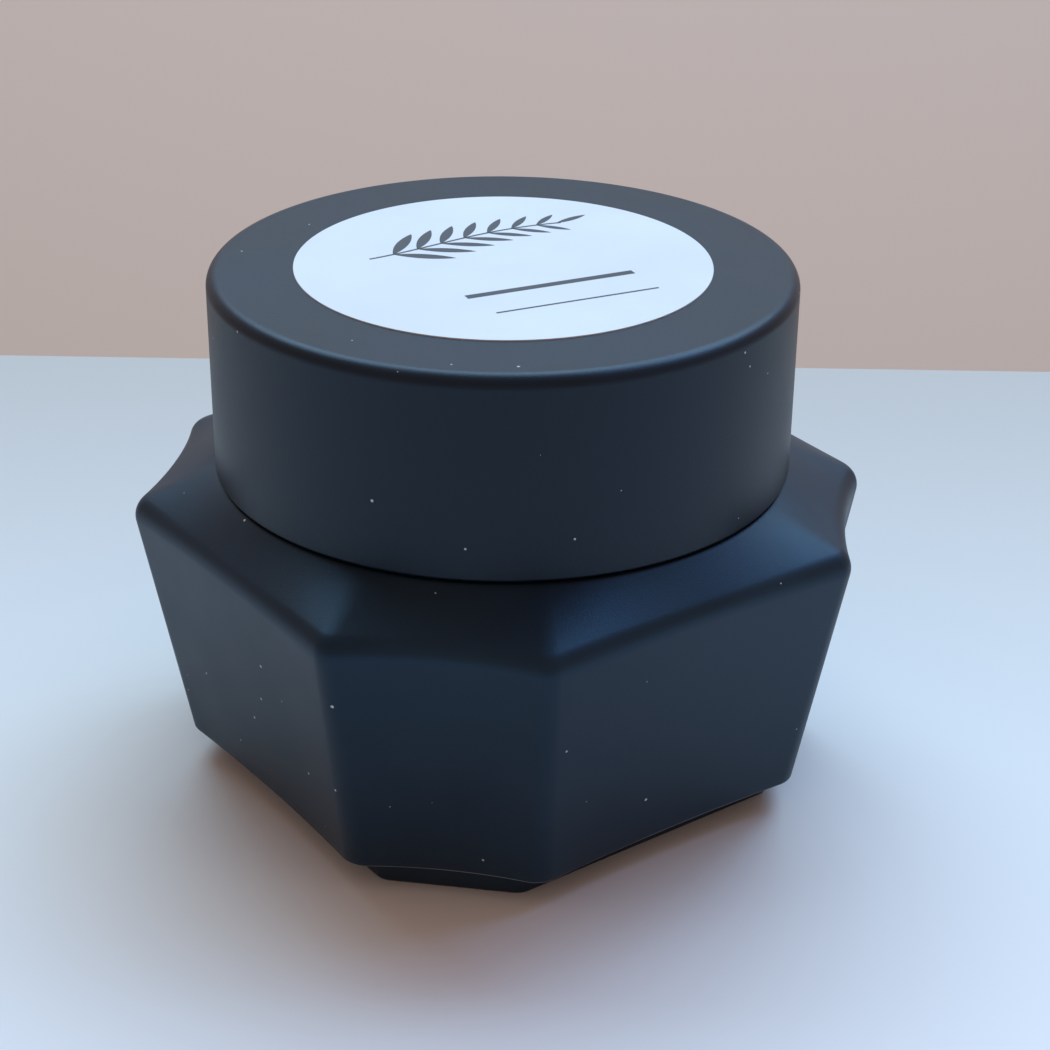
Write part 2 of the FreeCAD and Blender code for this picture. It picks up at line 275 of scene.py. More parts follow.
@dataclass(frozen=True)
class Octagon:
    """A level outline with narrow and wide sides that may bow inwards, and rounded corners."""

    reach: float
    half: float
    dip_narrow: float
    dip_wide: float
    corner: float
    side_steps: int = 26
    corner_steps: int = 10

    def points(self, height: float) -> Ring:
        """Trace the outline counter-clockwise.

        Args:
            height: The height of the outline.

        Returns:
            Points that start just past the corner before the +X facet, as many on every outline.
        """
        corners = self._corners()
        centres, radii = [], []
        for side in range(8):
            here, there = corners[side], corners[(side + 1) % 8]
            dip = max(self.dip_narrow if side % 2 == 0 else self.dip_wide, 0.002)
            half_chord = 0.5 * (there - here).length
            radius = (half_chord ** 2 + dip ** 2) / (2.0 * dip)
            middle = 0.5 * (here + there)
            centres.append(middle + middle.normalized() * (radius - dip))
            radii.append(radius)
        rounds = [self._round_centre(corners[side], centres[side - 1], radii[side - 1],
                                     centres[side], radii[side]) for side in range(8)]
        ring = []
        for side in range(8):
            after = (side + 1) % 8
            start = rounds[side] - centres[side]
            end = rounds[after] - centres[side]
            for step in range(self.side_steps):
                toward = start.normalized().slerp(end.normalized(), step / self.side_steps)
                ring.append(centres[side] + toward * radii[side])
            start = centres[side] - rounds[after]
            end = centres[after] - rounds[after]
            for step in range(self.corner_steps):
                toward = start.normalized().slerp(end.normalized(), step / self.corner_steps)
                ring.append(rounds[after] + toward * self.corner)
        return [Vector((point.x, point.y, height)) for point in ring]

    def _corners(self) -> list[Vector]:
        """The eight sharp corners, the first two being those of the +X facet.

        Returns:
            The corners, counter-clockwise.
        """
        corners = []
        for turn in range(4):
            spin = Matrix.Rotation(0.5 * math.pi * turn, 2)
            corners.append(spin @ Vector((self.reach, -self.half)))
            corners.append(spin @ Vector((self.reach, self.half)))
        return corners

    def _round_centre(self, corner: Vector, centre_a: Vector, radius_a: float,
                      centre_b: Vector, radius_b: float) -> Vector:
        """The centre of the circle that rounds a corner between two bowed sides.

        Args:
            corner: The sharp corner.
            centre_a: The centre of the arc of the side before it.
            radius_a: The radius of that arc.
            centre_b: The centre of the arc of the side after it.
            radius_b: The radius of that arc.

        Returns:
            The centre, on the corner's inner side.
        """
        reach_a = radius_a + self.corner
        reach_b = radius_b + self.corner
        span = centre_b - centre_a
        along = (reach_a ** 2 - reach_b ** 2 + span.length ** 2) / (2.0 * span.length)
        aside = math.sqrt(max(reach_a ** 2 - along ** 2, 0.0))
        direction = span.normalized()
        square = Vector((-direction.y, direction.x))
        foot = centre_a + direction * along
        options = (foot + square * aside, foot - square * aside)
        return min(options, key=lambda point: (point - corner).length)


def screw_ridge(skin: Skin, root: float, crest: float, start: float, lead: float, turns: float,
                root_half: float, crest_half: float, fade_degrees: float = 24.0) -> None:
    """Add one right-hand thread ridge whose two ends fade into the wall.

    Args:
        skin: The mesh it goes into.
        root: The radius where the ridge meets the wall, a little inside it.
        crest: The radius of its top.
        start: The height of its middle at +X.
        lead: The climb of a full turn.
        turns: Its length in turns.
        root_half: Half its width at the root.
        crest_half: Half its width at the crest.
        fade_degrees: How far it takes to rise from the wall at each end.
    """
    total = turns * FULL_TURN
    fade = math.radians(fade_degrees)
    steps = int(turns * RIDGE_STEPS_PER_TURN)
    sections = []
    for step in range(steps + 1):
        angle = total * step / steps
        rise = min(1.0, angle / fade, (total - angle) / fade)
        rise = 0.5 - 0.5 * math.cos(math.pi * max(rise, RIDGE_LOWEST))
        middle = start + lead * angle / FULL_TURN
        top = root + (crest - root) * rise
        share = RIDGE_END_SHARE + (1.0 - RIDGE_END_SHARE) * rise
        wide = root_half * share
        narrow = crest_half * share
        inward = 0.12 * (crest - root)
        sections.append([polar(root, angle, middle - wide),
                         polar(top - inward * rise, angle, middle - narrow - RIDGE_EASE),
                         polar(top, angle, middle - narrow + RIDGE_EASE),
                         polar(top, angle, middle + narrow - RIDGE_EASE),
                         polar(top - inward * rise, angle, middle + narrow + RIDGE_EASE),
                         polar(root, angle, middle + wide)])
    skin.strip(sections)


def dress(piece: bpy.types.Object, material: bpy.types.Material) -> None:
    """Give a piece its one material."""
    piece.data.materials.clear()
    piece.data.materials.append(material)


def settle(piece: bpy.types.Object, material: bpy.types.Material, body: Body, slot: Slot,
           *nodes: str) -> bpy.types.Object:
    """Dress a piece and put it on its body, in place of the nodes it stands for.

    Args:
        piece: The finished mesh.
        material: Its one material.
        body: The body it moves with.
        slot: The record's slot that its finish comes from; not used.
        nodes: The CAD nodes that it replaces.

    Returns:
        The same piece.
    """
    dress(piece, material)
    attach(piece, body.value)
    if nodes:
        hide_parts(*nodes)
    log.info("%s rides on %s, %d faces", piece.name, body.value, len(piece.data.polygons))
    return piece


# ---- Finishes ----


def linear(code: str) -> tuple[float, float, float, float]:
    """Turn an sRGB hex colour such as #20242a into linear red, green, blue and alpha.

    Args:
        code: The colour.

    Returns:
        Four parts from 0 to 1, the last of them 1.
    """
    parts = [int(code[place:place + 2], 16) / 255.0 for place in (1, 3, 5)]
    red, green, blue = [part / 12.92 if part <= 0.04045 else ((part + 0.055) / 1.055) ** 2.4
                        for part in parts]
    return (red, green, blue, 1.0)


def add_node(tree: bpy.types.NodeTree, kind: str, settings: dict | None = None,
             values: dict | None = None, links: dict | None = None) -> bpy.types.Node:
    """Add one node.

    Args:
        tree: The node tree.
        kind: The node's type name, without its ShaderNode prefix.
        settings: Properties to set on it.
        values: Constants for its inputs, by name or number.
        links: Sockets to join to its inputs, by name or number.

    Returns:
        The node.
    """
    node = tree.nodes.new("ShaderNode" + kind)
    for name, value in (settings or {}).items():
        setattr(node, name, value)
    for name, value in (values or {}).items():
        node.inputs[name].default_value = value
    for name, socket in (links or {}).items():
        tree.links.new(socket, node.inputs[name])
    return node


def fresh_tree(name: str) -> tuple[bpy.types.Material, bpy.types.NodeTree]:
    """A new material with an empty tree but for its output.

    Args:
        name: The material's name.

    Returns:
        The material and its tree.
    """
    material = bpy.data.materials.new(name)
    material.use_nodes = True
    material.node_tree.nodes.clear()
    add_node(material.node_tree, "OutputMaterial")
    return material, material.node_tree


def per_metre(size_mm: float) -> float:
    """A texture's scale for features of this size."""
    return 1.0 / (size_mm * MM)


@dataclass(frozen=True)
class Finish:
    """A plastic surface: its colour, gloss, grain and the slight unevenness of real moulding."""

    name: str
    colour: str
    pale: str
    roughness: float
    ior: float
    grain_mm: float
    grain_depth_mm: float
    smear: float = 0.05
    subsurface: float = 0.0
    dust: float = 0.0
    coat: float = 0.0
    tint: str = "#ffffff"
    # Height of the painted highlight line along the bottom edge, in millimetres; none at 0.
    edge_highlight_at_mm: float = 0.0

    def material(self) -> bpy.types.Material:
        """Build the material.

        Returns:
            The node material.
        """
        material, tree = fresh_tree(self.name)
        place = add_node(tree, "TexCoord").outputs["Object"]
        cloud = add_node(tree, "TexNoise", values={"Scale": per_metre(CLOUD_MM), "Detail": 3.0,
                                                   "Roughness": 0.55}, links={"Vector": place})
        grain = add_node(tree, "TexNoise", values={"Scale": per_metre(self.grain_mm),
                                                   "Detail": 2.0, "Roughness": 0.6},
                         links={"Vector": place})
        blend = add_node(tree, "MapRange", {"interpolation_type": "SMOOTHSTEP"},
                         {"From Min": CLOUD_LOW, "From Max": CLOUD_HIGH},
                         {"Value": cloud.outputs["Fac"]})
        colour = add_node(tree, "Mix", {"data_type": "RGBA"},
                          {6: linear(self.colour), 7: linear(self.pale)},
                          {0: blend.outputs["Result"]}).outputs[2]
        rough = add_node(tree, "MapRange", {"interpolation_type": "SMOOTHSTEP"},
                         {"From Min": CLOUD_LOW, "From Max": CLOUD_HIGH,
                          "To Min": self.roughness - self.smear,
                          "To Max": self.roughness + self.smear},
                         {"Value": cloud.outputs["Fac"]}).outputs["Result"]
        # A painted highlight line along the bottom edge.
        if self.edge_highlight_at_mm > 0.0:
            colour = self._painted_edge_highlight(tree, place, cloud.outputs["Fac"], colour)
        if self.dust > 0.0:
            colour, rough = self._dusted(tree, place, colour, rough)
        bump = add_node(tree, "Bump", values={"Strength": 1.0,
                                              "Distance": self.grain_depth_mm * MM},
                        links={"Height": grain.outputs["Fac"]})
        values = {"IOR": self.ior, "Coat Weight": self.coat, "Coat Roughness": 0.12,
                  "Subsurface Weight": self.subsurface, "Subsurface Scale": 2.0 * MM,
                  "Specular Tint": linear(self.tint)}
        shader = add_node(tree, "BsdfPrincipled", values=values,
                          links={"Base Color": colour, "Roughness": rough,
                                 "Normal": bump.outputs["Normal"]})
        tree.links.new(shader.outputs["BSDF"], tree.nodes["Material Output"].inputs["Surface"])
        return material

    def _painted_edge_highlight(self, tree: bpy.types.NodeTree, place: bpy.types.NodeSocket,
              cloud: bpy.types.NodeSocket, colour: bpy.types.NodeSocket) -> bpy.types.NodeSocket:
        """Paint a pale highlight line along the bottom edge, wider in some places than in others.

        Args:
            tree: The material's tree.
            place: The texture coordinates.
            cloud: A slow noise, which makes the highlight line wider and narrower.
            colour: The colour without the highlight.

        Returns:
            The colour with the painted highlight along the edge.
        """
        height = add_node(tree, "SeparateXYZ", links={"Vector": place}).outputs["Z"]
        reach = add_node(tree, "MapRange", values={"From Min": 0.35, "From Max": 0.6,
                                                   "To Min": EDGE_HIGHLIGHT_NARROW * MM,
                                                   "To Max": EDGE_HIGHLIGHT_WIDE * MM},
                         links={"Value": cloud})
        highlight_band = add_node(tree, "Math", {"operation": "COMPARE"}, {1: self.edge_highlight_at_mm * MM},
                          {0: height, 2: reach.outputs["Result"]})
        return add_node(tree, "Mix", {"data_type": "RGBA"}, {7: linear(EDGE_HIGHLIGHT_COLOUR)},
                        {0: highlight_band.outputs[0], 6: colour}).outputs[2]

    def _dusted(self, tree: bpy.types.NodeTree, place: bpy.types.NodeSocket,
                colour: bpy.types.NodeSocket,
                rough: bpy.types.NodeSocket) -> tuple[bpy.types.NodeSocket,
                                                      bpy.types.NodeSocket]:
        """Scatter a few pale specks of dust.

        Args:
            tree: The material's tree.
            place: The texture coordinates.
            colour: The clean colour.
            rough: The clean roughness.

        Returns:
            The colour and the roughness with specks.
        """
        cells = add_node(tree, "TexVoronoi", values={"Scale": per_metre(DUST_SPACING_MM)},
                         links={"Vector": place})
        picked = add_node(tree, "SeparateColor", links={"Color": cells.outputs["Color"]})
        chosen = add_node(tree, "Math", {"operation": "GREATER_THAN"}, {1: 1.0 - self.dust},
                          {0: picked.outputs["Red"]})
        size = add_node(tree, "Math", {"operation": "MULTIPLY_ADD"},
                        {1: DUST_SIZE_SPREAD, 2: DUST_SIZE_LEAST}, {0: picked.outputs["Green"]})
        dot = add_node(tree, "Math", {"operation": "LESS_THAN"}, {},
                       {0: cells.outputs["Distance"], 1: size.outputs[0]})
        speck = add_node(tree, "Math", {"operation": "MULTIPLY"}, {},
                         {0: dot.outputs[0], 1: chosen.outputs[0]})
        dusty = add_node(tree, "Mix", {"data_type": "RGBA"}, {7: linear(DUST_COLOUR)},
                         {0: speck.outputs[0], 6: colour}).outputs[2]
        dull = add_node(tree, "Mix", {"data_type": "FLOAT"}, {3: 0.95},
                        {0: speck.outputs[0], 2: rough}).outputs[0]
        return dusty, dull


# Polypropylene sprayed with soft-touch paint: nearly black, a broad dull shine, a grain like
# fine suede that is drawn coarser than life so that it shows.
LID_PAINT = Finish("soft_touch_black_paint", colour="#0d161f", pale="#121b25", roughness=0.41,
                   ior=1.47, grain_mm=0.16, grain_depth_mm=0.014, smear=0.03, dust=0.6,
                   tint="#b8cfe8")
# The same paint in a bluer batch on the jar, with a painted highlight line along its bottom edge.
JAR_PAINT = Finish("soft_touch_blue_black_paint", colour="#151f2a", pale="#1b2732",
                   roughness=0.44, ior=1.47, grain_mm=0.16, grain_depth_mm=0.012, smear=0.04,
                   dust=0.5, tint="#9ccef6", edge_highlight_at_mm=2.86)
# The foot is the bare moulding: the same black, a little smoother and without the paint.
BARE_BLACK = Finish("moulded_black_polypropylene", colour="#1a232e", pale="#202a35",
                    roughness=0.42, ior=1.49, grain_mm=0.3, grain_depth_mm=0.01, smear=0.05,
                    tint="#a8daff")
# White polypropylene from a polished mould: semi-gloss and faintly waxy.
WHITE_PP = Finish("moulded_white_polypropylene", colour="#e4e6e4", pale="#eceeec",
                  roughness=0.3, ior=1.49, grain_mm=0.6, grain_depth_mm=0.004, smear=0.05,
                  subsurface=0.12)
# Uncoloured polypropylene: milky, thin and a little see-through at its edges.
NATURAL_PP = Finish("natural_polypropylene", colour="#d9dddc", pale="#e3e7e6", roughness=0.28,
                    ior=1.49, grain_mm=0.8, grain_depth_mm=0.006, smear=0.06, subsurface=0.3)
# Foamed polyethylene sheet: chalky white with the fine pits of its bubbles.
FOAM = Finish("foamed_polyethylene", colour="#dcdedb", pale="#e8e9e6", roughness=0.8, ior=1.45,
              grain_mm=0.25, grain_depth_mm=0.05, smear=0.04)
# Paper sticker with a clear film: bright white under a smooth shine.
LABEL_FILM = Finish("film_coated_paper", colour="#dbdfe3", pale="#e1e5e8", roughness=0.35,
                    ior=1.5, grain_mm=0.5, grain_depth_mm=0.002, smear=0.03, coat=0.25)
# Printed ink under the film: soft black.
PRINT = Finish("printed_black_ink", colour="#2a3038", pale="#333a43", roughness=0.4, ior=1.5,
               grain_mm=0.2, grain_depth_mm=0.001, smear=0.03)


# ---- The jar ----


@dataclass
class OuterJar:
    """The octagonal shell with its bowed facets, soft rim, sloping shoulder and hollow."""

    material: bpy.types.Material
    hem: Octagon = Octagon(27.4, 7.95, 0.75, 0.45, 2.5)
    rim: Octagon = Octagon(31.4, 9.1, 1.0, 0.1, 2.0)
    mouth: Octagon = Octagon(24.85, 7.3, 0.0, 0.0, 0.6)
    ceiling: Octagon = Octagon(24.35, 7.05, 0.0, 0.0, 0.6)
    rim_below_seat: float = 3.25
    rim_round: float = 2.0
    hem_round: float = 0.3
    seat_radius: float = 24.8
    seat_round: float = 0.3
    ledge_radius: float = 23.0
    ledge_depth: float = 1.2
    hole_radius: float = 20.8
    shoulder_thick: float = 3.75
    wall_steps: int = 24

    def build(self) -> bpy.types.Object:
        """Build and dress the shell.

        Returns:
            The finished piece.
        """
        low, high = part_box("outer_jar")
        hem_height, seat_height = low[2] / MM, high[2] / MM
        under = seat_height - self.shoulder_thick
        hem = self.hem.points(hem_height)
        rim = self.rim.points(seat_height - self.rim_below_seat)
        mouth = self.mouth.points(hem_height)
        ceiling = self.ceiling.points(under)
        columns = [self._column(*points, seat_height, under)
                   for points in zip(hem, rim, mouth, ceiling)]
        skin = Skin()
        skin.rings([list(row) for row in zip(*columns)], wrap_rows=True)
        piece = skin.build("jar_shell")
        return settle(piece, self.material, Body.JAR, Slot.SHELL, "outer_jar")

    def _column(self, hem: Vector, rim: Vector, mouth: Vector, ceiling: Vector,
                seat_height: float, under: float) -> list[Vector]:
        """One upright slice through the shell.

        Args:
            hem: The point on the bottom edge.
            rim: The point on the rim before it is rounded.
            mouth: The point inside the bottom edge.
            ceiling: The point under the shoulder.
            seat_height: The height of the flat that the lid sits over.
            under: The height of the shoulder's underside.

        Returns:
            A closed loop of points that goes up the outside and back down the inside.
        """
        angle = math.atan2(rim.y, rim.x)
        seat = polar(self.seat_radius, angle, seat_height)
        ledge = polar(self.ledge_radius, angle, seat_height)
        step = polar(self.ledge_radius, angle, seat_height - self.ledge_depth)
        edge = polar(self.hole_radius, angle, seat_height - self.ledge_depth)
        lip = polar(self.hole_radius, angle, under)
        loop = round_corner(mouth, hem, rim, self.hem_round, 5)
        arc = round_corner(hem, rim, seat, self.rim_round, 14)
        shoulder = round_corner(rim, seat, ledge, self.seat_round, 4)
        loop.extend(between(loop[-1], arc[0], self.wall_steps))
        loop.extend(arc)
        loop.extend(between(arc[-1], shoulder[0], 8))
        loop.extend(shoulder)
        loop.extend([ledge, step, edge, lip, ceiling])
        loop.extend(between(ceiling, mouth, 6))
        loop.append(mouth)
        return loop


def between(start: Vector, end: Vector, steps: int) -> list[Vector]:
    """Points spaced evenly between two others, without either."""
    return [start.lerp(end, step / steps) for step in range(1, steps)]


@dataclass
class Foot:
    """The base plate: a flat-sided octagon to stand on, and a plug that closes the shell."""

    material: bpy.types.Material
    outline: Octagon = Octagon(25.1, 6.0, 0.0, 0.0, 1.7)
    plug: Octagon = Octagon(24.35, 7.05, 0.0, 0.0, 0.5)
    foot_height: float = 2.75
    edge_round: float = 0.4
    recess_radius: float = 18.0
    recess_depth: float = 0.7
    gate_radius: float = 1.6
    gate_depth: float = 0.25

    def build(self) -> bpy.types.Object:
        """Build and dress the base plate.

        Returns:
            The finished piece.
        """
        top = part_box("base_plate")[1][2] / MM
        foot = self.outline.points(0.0)
        plug = self.plug.points(self.foot_height)
        columns = []
        for low, wide in zip(foot, plug):
            angle = math.atan2(low.y, low.x)
            inner = polar(self.recess_radius, angle, 0.0)
            corner = Vector((low.x, low.y, self.foot_height))
            recess = rounded_in(inner, self.recess_depth, self.edge_round * 0.6)
            column = [polar(self.gate_radius * 0.6, angle, self.recess_depth + self.gate_depth),
                      polar(self.gate_radius, angle, self.recess_depth)]
            column.extend(recess)
            column.extend(round_corner(inner, low, corner, self.edge_round, 5))
            column.extend([corner, wide, Vector((wide.x, wide.y, top))])
            column.append(polar(self.recess_radius, angle, top))
            columns.append(column)
        rows = [list(row) for row in zip(*columns)]
        rows.insert(0, [Vector((0.0, 0.0, self.recess_depth + self.gate_depth))])
        rows.append([Vector((0.0, 0.0, top))])
        skin = Skin()
        skin.rings(rows)
        piece = skin.build("foot")
        return settle(piece, self.material, Body.JAR, Slot.BASE, "base_plate")


def rounded_in(rim: Vector, depth: float, radius: float) -> list[Vector]:
    """The wall of a round recess from its roof down to its rim, eased at the rim.

    Args:
        rim: The point on the rim, at the recess's mouth.
        depth: The height of the roof above the mouth.
        radius: The rounding at the mouth.

    Returns:
        Points from the roof down.
    """
    roof = Vector((rim.x, rim.y, depth))
    outside = Vector((rim.x * 1.2, rim.y * 1.2, rim.z))
    return [roof] + round_corner(roof, rim, outside, radius, 3)


@dataclass
class InnerCup:
    """The white cup that holds the cream, with its flange and threaded neck."""

    material: bpy.types.Material
    bore: float = 18.4
    body: float = 20.0
    neck: float = 20.5
    flange: float = 22.8
    flange_thick: float = 1.2
    flange_top: float = 28.75
    floor_wall: float = 1.3
    inside_corner: float = 4.0
    outside_corner: float = 5.0
    thread_middle: float = 33.0
    thread_crest: float = 21.6
    lead: float = 4.2
    turns: float = 1.4

    def build(self) -> bpy.types.Object:
        """Build and dress the cup.

        Returns:
            The finished piece.
        """
        low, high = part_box("inner_cup")
        bottom, top = low[2] / MM, high[2] / MM
        floor = bottom + self.floor_wall
        flange_bottom = self.flange_top - self.flange_thick
        profile = rounded([
            (0.0, bottom, 0.0), (self.body, bottom, self.outside_corner),
            (self.body, flange_bottom, 0.2), (self.flange, flange_bottom, 0.2),
            (self.flange, self.flange_top, 0.3), (self.neck, self.flange_top, 0.4),
            (self.neck, top, 0.4), (self.bore, top, 0.4),
            (self.bore, floor, self.inside_corner), (0.0, floor, 0.0)], steps=8)
        skin = Skin()
        lathe(skin, subdivided(profile, 2.0))
        screw_ridge(skin, self.neck - 0.2, self.thread_crest, self.thread_middle, self.lead,
                    self.turns, 0.7, 0.35)
        piece = skin.build("inner_cup_moulding")
        return settle(piece, self.material, Body.JAR, Slot.CUP, "inner_cup")


# ---- The lid ----


@dataclass
class LidShell:
    """The round overcap with a straight wall and a softly rounded top edge."""

    material: bpy.types.Material
    radius: float = 25.0
    wall: float = 1.6
    top_round: float = 1.1
    hem_round: float = 0.25

    def build(self) -> bpy.types.Object:
        """Build and dress the overcap.

        Returns:
            The finished piece.
        """
        low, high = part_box("lid_shell")
        bottom, top = low[2] / MM, high[2] / MM
        inner = self.radius - self.wall
        ceiling = top - self.wall
        profile = rounded([
            (0.0, top, 0.0), (self.radius, top, self.top_round),
            (self.radius, bottom, self.hem_round), (inner, bottom, self.hem_round),
            (inner, ceiling, 0.5), (0.0, ceiling, 0.0)], steps=12)
        skin = Skin()
        lathe(skin, subdivided(profile, 2.0), columns=288)
        piece = skin.build("lid_overcap")
        return settle(piece, self.material, Body.LID, Slot.LID, "lid_shell")


def subdivided(profile: list[Vector], longest: float, hold: float = 0.08) -> list[Vector]:
    """Cut the long straight runs of a profile, so that its shading stays flat along them.

    Args:
        profile: The profile's points.
        longest: The longest run that is left whole.
        hold: How far from each end of a run its first and last cuts are.

    Returns:
        The profile with more points.
    """
    points = [profile[0]]
    for start, end in zip(profile, profile[1:]):
        length = (end - start).length
        if length > longest:
            inset = (end - start) * (hold / length)
            points.append(start + inset)
            points.extend(between(start + inset, end - inset, math.ceil(length / longest)))
            points.append(end - inset)
        points.append(end)
    return points


@dataclass
class InnerCap:
    """The threaded cap inside the overcap, with gripping ribs and a bead that holds the wad."""

    material: bpy.types.Material
    bore: float = 22.0
    outer: float = 23.1
    rib_reach: float = 23.4
    rib_width: float = 0.8
    rib_count: int = 24
    rib_start: float = 0.3
    rib_full: float = 1.3
    rib_sunk: float = 0.2
    rib_crest_share: float = 0.6
    roof: float = 1.2
    bead: float = 0.6
    bead_height: float = 0.5
    bead_below_roof: float = 1.05
    thread_middle: float = 30.9
    thread_crest: float = 21.0
    lead: float = 4.2
    turns: float = 1.3

    def build(self) -> bpy.types.Object:
        """Build and dress the inner cap.

        Returns:
            The finished piece.
        """
        low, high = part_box("lid_inner_cap")
        bottom, top = low[2] / MM, high[2] / MM
        ceiling = top - self.roof
        bead_top = ceiling - self.bead_below_roof
        bead_bottom = bead_top - self.bead_height
        profile = rounded([
            (0.0, top, 0.0), (self.outer, top, 0.3), (self.outer, bottom, 0.3),
            (self.bore, bottom, 0.3), (self.bore, bead_bottom, 0.1),
            (self.bore - self.bead, 0.5 * (bead_bottom + bead_top), 0.12),
            (self.bore, bead_top, 0.1), (self.bore, ceiling, 0.3), (0.0, ceiling, 0.0)])
        skin = Skin()
        lathe(skin, subdivided(profile, 2.0))
        for rib in range(self.rib_count):
            self._rib(skin, FULL_TURN * rib / self.rib_count, bottom, top)
        screw_ridge(skin, self.bore + 0.2, self.thread_crest, self.thread_middle, self.lead,
                    self.turns, 0.7, 0.35)
        piece = skin.build("lid_threaded_cap")
        return settle(piece, self.material, Body.LID, Slot.CAP, "lid_inner_cap")

    def _rib(self, skin: Skin, angle: float, bottom: float, top: float) -> None:
        """Add one upright rib that tapers at its lower end.

        Args:
            skin: The mesh it goes into.
            angle: Where it stands about the axis, in radians.
            bottom: The height of the cap's lower edge.
            top: The height of the cap's roof.
        """
        half = 0.5 * self.rib_width
        crest = half * self.rib_crest_share
        root = self.outer - self.rib_sunk
        spin = Matrix.Rotation(angle, 3, "Z")
        sections = []
        for height, reach in ((bottom + self.rib_start, self.outer + 0.02),
                              (bottom + self.rib_full, self.rib_reach),
                              (top, self.rib_reach)):
            sections.append([spin @ Vector((root, -half, height)),
                             spin @ Vector((reach, -crest, height)),
                             spin @ Vector((reach, crest, height)),
                             spin @ Vector((root, half, height))])
        skin.strip(sections)


@dataclass
class Liner:
    """The foam wad that lies against the roof of the inner cap."""

    material: bpy.types.Material
    radius: float = 21.7

    def build(self) -> bpy.types.Object:
        """Build and dress the wad.

        Returns:
            The finished piece.
        """
        low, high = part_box("lid_liner")
        bottom, top = low[2] / MM, high[2] / MM
        profile = rounded([(0.0, bottom, 0.0), (self.radius, bottom, 0.15),
                           (self.radius, top, 0.15), (0.0, top, 0.0)])
        skin = Skin()
        lathe(skin, subdivided(profile, 3.0))
        piece = skin.build("foam_wad")
        return settle(piece, self.material, Body.LINER, Slot.LINER, "lid_liner")


@dataclass
class Label:
    """The round sticker and its print: a leaf sprig over two plain rules, with no lettering."""

    paper: bpy.types.Material
    ink: bpy.types.Material
    radius: float = 17.7
    turn_degrees: float = 33.8
    ink_thick: float = 0.012
    ink_sunk: float = 0.004
    stem_length: float = 19.0
    stem_height: float = 6.4
    stem_width: float = 0.26
    stem_wave: float = 1.3
    stem_shift: float = 0.6
    tip_share: float = 0.6
    leaf_pairs: int = 7
    leaf_length: float = 5.8
    leaf_width: float = 1.15
    leaf_turn: float = 42.0
    rules: tuple[tuple[float, float, float, float], ...] = (
        (1.4, -6.4, 15.2, 0.8), (1.9, -10.6, 14.6, 0.26))

    def build(self) -> list[bpy.types.Object]:
        """Build and dress the sticker and its print.

        Returns:
            The sticker and the print.
        """
        low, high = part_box("lid_label")
        bottom, top = low[2] / MM, high[2] / MM
        paper_top = top - self.ink_thick
        profile = rounded([(0.0, bottom, 0.0), (self.radius, bottom, 0.0),
                           (self.radius, paper_top, 0.04), (0.0, paper_top, 0.0)])
        skin = Skin()
        lathe(skin, subdivided(profile, 3.0), columns=288)
        sticker = skin.build("lid_sticker")
        settle(sticker, self.paper, Body.LID, Slot.LABEL, "lid_label")

        skin = Skin()
        for path, width in self._strokes():
            self._draw(skin, path, width, paper_top)
        for outline in self._leaves():
            skin.strip([self._placed(outline, paper_top + up)
                        for up in (-self.ink_sunk, self.ink_thick - self.ink_sunk)])
        marks = skin.build("lid_sticker_print")
        settle(marks, self.ink, Body.LID, Slot.LABEL)
        return [sticker, marks]

    def _strokes(self) -> list[tuple[list[Vector], float]]:
        """The pen lines of the print and their widths, with x along the print and y up.

        Returns:
            The middle of each line, with its width.
        """
        strokes = [([self._stem(step / 30.0) for step in range(31)], self.stem_width)]
        for middle, height, length, width in self.rules:
            ends = [Vector((middle - 0.5 * length, height)), Vector((middle + 0.5 * length, height))]
            strokes.append((ends, width))
        return strokes

    def _leaves(self) -> list[list[Vector]]:
        """The outlines of the sprig's leaves, in pairs along its stem and one at its tip.

        Returns:
            The outlines, in the print's own axes.
        """
        outlines = [leaf(self._stem(0.98), 0.3, self.leaf_length * self.tip_share,
                         self.leaf_width * self.tip_share)]
        for pair in range(self.leaf_pairs):
            share = 0.12 + 0.76 * pair / (self.leaf_pairs - 1)
            foot = self._stem(share)
            ahead = self._stem(share + 0.01) - foot
            size = 1.0 - 0.5 * share
            for side in (-1.0, 1.0):
                heading = math.atan2(ahead.y, ahead.x) + side * math.radians(self.leaf_turn)
                outlines.append(leaf(foot, heading, self.leaf_length * size,
                                     self.leaf_width * size))
        return outlines

    def _stem(self, share: float) -> Vector:
        """A point on the sprig's gently waved stem."""
        along = (share - 0.5) * self.stem_length
        return Vector((along - self.stem_shift,
                       self.stem_height + self.stem_wave * math.sin(3.4 * (share - 0.35))))

    def _placed(self, points: list[Vector], height: float) -> list[Vector]:
        """Points of the print, turned and set at a height."""
        spin = Matrix.Rotation(math.radians(self.turn_degrees), 3, "Z")
        return [spin @ Vector((point.x, point.y, height)) for point in points]

    def _draw(self, skin: Skin, path: list[Vector], width: float, paper_top: float) -> None:
        """Lay one pen line of ink on the paper.

        Args:
            skin: The mesh it goes into.
            path: The middle of the line, in the print's own axes.
            width: The line's width.
            paper_top: The height of the paper.
        """
        sections = []
        for index, point in enumerate(path):
            ahead = path[min(index + 1, len(path) - 1)] - path[max(index - 1, 0)]
            aside = Vector((-ahead.y, ahead.x)).normalized() * (0.5 * width)
            edges = [point + aside, point - aside]
            low = self._placed(edges, paper_top - self.ink_sunk)
            high = self._placed(edges[::-1], paper_top + self.ink_thick - self.ink_sunk)
            sections.append(low + high)
        skin.strip(sections)


